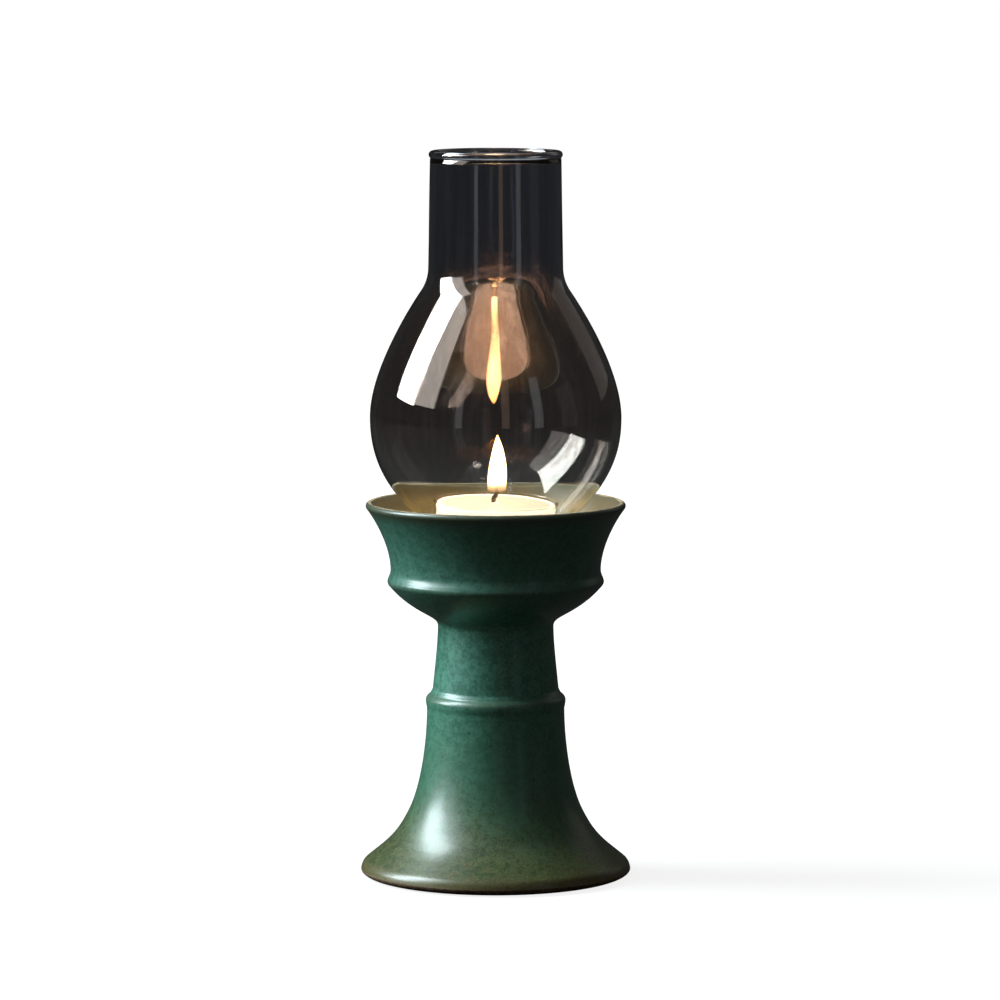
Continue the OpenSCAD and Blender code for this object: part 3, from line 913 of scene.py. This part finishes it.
def addTab():
    # stamped disc with a raised ring and a turned-down edge; the neck is pinched at six places
    low = seatHeight + tab["under"]
    bore, rim, sheet, neck = tab["bore"], tab["rim"], tab["sheet"], tab["neckHeight"]
    ring = tab["ringHeight"]
    section = joined(line([bore, 0], [rim - 0.3, 0], 10), arc([rim, 0.15], 0.3, -90, 70, 8),
                     curve([rim - 0.3, 0.32], [4.8, sheet], [4.6, ring], [4.0, ring], 10),
                     curve([4.0, ring], [3.2, ring], [3.0, 0.34], [2.2, 0.34], 10),
                     curve([2.2, 0.34], [1.5, 0.34], [1.15, 0.7], [1.13, 1.5], 10),
                     line([1.13, 1.5], [bore + 0.2, neck], 14), arc([bore + 0.1, neck], 0.1, 0, 180, 8),
                     line([bore, neck], [bore, 0.1], 12)) + [0, low]
    r, z = section.T
    pinched = smoothStep(z, low + 1.8, low + 2.4) * (1 - smoothStep(z, low + 3.0, low + 3.5)) * (r > 1.0)

    def crimped(_, angle):
        # inwards on the neck by pinch times the cosine of six times the angle, where that is above zero
        return -tab["pinch"] * pinched[:, None] * np.clip(np.cos(6 * angle), 0, 1)

    skin("stampedTab", turnedRows(section, 72, crimped, ring=True), "candle", makeSteel(),
         ring=True, replaced=("wick_tab",))


flame = {
    "foot": 116.4, "tip": 134.3,        # mm from the ground
    "wide": 3.15,                       # mm, half its width
    "strength": 46.0,
    "colours": [(0.0, (0.03, 0.013, 0.005)), (0.12, (0.07, 0.04, 0.017)), (0.26, (0.4, 0.28, 0.13)),
                (0.4, (0.9, 0.6, 0.27)), (0.5, (1.0, 0.68, 0.32)), (0.8, (1.0, 0.62, 0.25)),
                (1.0, (0.6, 0.26, 0.06))],      # from its foot to its tip
    "edge": (0.06, 0.022, 0.004),
}


def makeFlame():
    # light by height, red-brown at its edge, and clear at the edge and at the foot
    look = flame
    material, tree = newMaterial("candleFlame")
    point = objectPoint(tree)
    height = heightOf(tree, point)
    clouds = useMottle(tree, point, grainScale=260.0, cloudScale=90.0)[1]
    level = put(tree, "ShaderNodeMapRange", n0=plus(tree, height, times(tree, clouds, 1 * mm)),
                n1=look["foot"] * mm, n2=look["tip"] * mm)
    facing = put(tree, "ShaderNodeLayerWeight", Blend=0.5).outputs["Facing"]
    colour = blended(tree, spread(tree, facing, 0.35, 0.85), ramp(tree, level.outputs[0], look["colours"]),
                     look["edge"])
    solid = times(tree, spread(tree, facing, 0.6, 1.0, 1.0, 0.0),
                  byHeight(tree, height, (look["foot"], look["foot"] + 5.5), 0.12, 1.0))
    shader = put(tree, "ShaderNodeBsdfPrincipled", Base_Color=(0.0, 0.0, 0.0), Roughness=1.0, Alpha=solid,
                 Specular_IOR_Level=0.0, Emission_Color=colour, Emission_Strength=look["strength"])
    return finished(material, shader)


def addFlame():
    # half width times (1 - h^2.2)^0.9 at the share h of the height, a little slimmer low down and
    # rounded at the foot; its middle line bends to one side
    share = np.linspace(0, 1, 70) ** 1.2
    radius = flame["wide"] * (1 - share ** 2.2) ** 0.9 * (0.92 + 0.08 * smoothStep(share, 0, 0.35))
    footShare = np.clip(share / 0.06, 0, 1)
    radius = radius * np.sqrt(footShare * (2 - footShare))
    height = flame["foot"] + (flame["tip"] - flame["foot"]) * share
    rows = turnedRows(np.stack([radius, height], 1), 48)
    rows[:, :, 0] += (0.45 + 0.3 * np.sin(2.2 * share) - 0.25 * share ** 3)[:, None]
    skin("flame", rows, "candle", makeFlame())


addCup()
addWax()
addWick()
addTab()
addFlame()
print("candle made")


lighting = {
    # panels: azimuth, elevation, distance, width, height, brightness, colour
    "panels": {
        "windowPanel": (-95, 34, 1.5, 0.66, 1.2, 13.0, (0.8, 0.95, 1.0)),
        "sidePanel": (-70.5, 34, 1.5, 0.6, 1.14, 1.5, (0.84, 0.96, 1.0)),
        "coolStrip": (40, 14, 1.6, 0.24, 1.2, 0.22, (0.66, 0.86, 1.0)),
        "warmStrip": (9, 16, 1.6, 0.2, 1.3, 0.15, (1.0, 0.8, 0.62)),
        "leftStrip": (-34, 12, 1.6, 0.18, 1.0, 0.2, (0.66, 0.84, 1.0)),
        "wideStrip": (72, 10, 1.6, 0.5, 0.9, 0.03, (0.9, 0.96, 1.0)),
        "fillPanel": (130, 24, 1.6, 0.8, 0.9, 0.1, (1.0, 0.97, 0.93)),
        "topPanel": (-30, 74, 1.5, 1.7, 1.7, 0.12, (0.97, 0.99, 1.0)),
        "rearPanel": (180, 38, 1.7, 1.2, 0.8, 0.4, (1.0, 0.97, 0.93)),
    },
    "target": (0, 0, 0.11),                 # what the panels face, in metres
    "room": (0.032, 0.03, 0.025), "roomInGlass": 0.15,
    "floorPale": (0.32, 0.315, 0.31),       # what the camera sees of the floor's paint
    "floorBounce": (0.034, 0.031, 0.027),   # what the floor sends back to the lantern
    "floorSize": 30.0,                      # m, from its middle to its side
    "throughGlass": 0.025, "inGloss": 0.018,  # share of the white backdrop
}


def addPanel(name, azimuth, elevation, distance, width, height, brightness, colour):
    # soft box at an azimuth from the front (positive to the right) and an elevation, facing the
    # target; its power is brightness times pi times its area
    light = bpy.data.lights.new(name, "AREA")
    light.shape = "RECTANGLE"
    light.size, light.size_y = width, height
    light.energy = brightness * math.pi * width * height
    light.color = colour
    a, e = math.radians(azimuth), math.radians(elevation)
    away = np.array([math.sin(a) * math.cos(e), -math.cos(a) * math.cos(e), math.sin(e)])
    lamp = placed(name, light)
    lamp.location = lighting["target"] + distance * away
    lamp.rotation_euler = (math.radians(90) - e, 0, a)


def whiteShare(tree, path):
    # share of the white backdrop that a ray sees: all of it from the camera, less in glass and gloss
    through = times(tree, path.outputs["Is Transmission Ray"], lighting["throughGlass"])
    gloss = times(tree, path.outputs["Is Glossy Ray"], lighting["inGloss"])
    return larger(tree, larger(tree, path.outputs["Is Camera Ray"], through), gloss)


def addBackdrop():
    # a white world by that share, and else a dim room, which is dimmer still in glass and gloss
    world = bpy.data.worlds.new("room")
    bpy.context.scene.world = world
    world.use_nodes = True
    tree = world.node_tree
    tree.nodes.clear()
    path = put(tree, "ShaderNodeLightPath")
    indirect = larger(tree, path.outputs["Is Transmission Ray"], path.outputs["Is Glossy Ray"])
    room = put(tree, "ShaderNodeBackground", Color=lighting["room"],
               Strength=spread(tree, indirect, 0.0, 1.0, 1.0, lighting["roomInGlass"]))
    white = put(tree, "ShaderNodeBackground", Color=(1, 1, 1), Strength=1.0)
    mix = put(tree, "ShaderNodeMixShader", n0=whiteShare(tree, path), n1=room.outputs[0], n2=white.outputs[0])
    put(tree, "ShaderNodeOutputWorld", n0=mix.outputs[0])


def makePaint():
    # pale to the camera and dark to other rays; light of its own takes it to white by the same share
    look = lighting
    material, tree = newMaterial("paleFloor")
    path = put(tree, "ShaderNodeLightPath")
    sent = blended(tree, path.outputs["Is Glossy Ray"], look["floorBounce"], darker(look["floorBounce"], 0.4))
    paint = put(tree, "ShaderNodeBsdfDiffuse",
                Color=blended(tree, path.outputs["Is Camera Ray"], sent, look["floorPale"]))
    away = put(tree, "ShaderNodeVectorMath", {"operation": "LENGTH"}, n0=objectPoint(tree)).outputs["Value"]
    fill = spread(tree, away, 0.08, 0.7, 0.86, 1.0)  # less of it near the lantern, so its shadow shows
    shine = put(tree, "ShaderNodeEmission", Color=(1, 1, 1),
                Strength=times(tree, whiteShare(tree, path), fill))
    both = put(tree, "ShaderNodeAddShader", n0=paint.outputs[0], n1=shine.outputs[0])
    return finished(material, both)


def addFloor():
    # one square face on the ground
    size = lighting["floorSize"]
    mesh = bpy.data.meshes.new("paleFloor")
    corners = [(-size, -size, 0), (size, -size, 0), (size, size, 0), (-size, size, 0)]
    mesh.from_pydata(corners, [], [(0, 1, 2, 3)])
    floor = placed("paleFloor", mesh)
    mesh.materials.append(makePaint())


for panelName, values in lighting["panels"].items():
    addPanel(panelName, *values)
addBackdrop()
addFloor()
print("room and lights made")

cameraView = {
    "place": (0.0013, -1.72, 0.3),          # m
    "tilt": 6.16,                           # degrees below level
    "lens": 206.5, "sensor": 36,            # mm
}


def addCamera():
    # long lens from the front, a little from above
    view = bpy.data.cameras.new("camera")
    view.lens = cameraView["lens"]
    view.sensor_width = cameraView["sensor"]
    view.clip_end = 100
    camera = placed("camera", view)
    camera.location = cameraView["place"]
    camera.rotation_euler = (math.radians(90 - cameraView["tilt"]), 0, 0)
    bpy.context.scene.camera = camera


addCamera()
bpy.context.scene.view_settings.view_transform = "Standard"
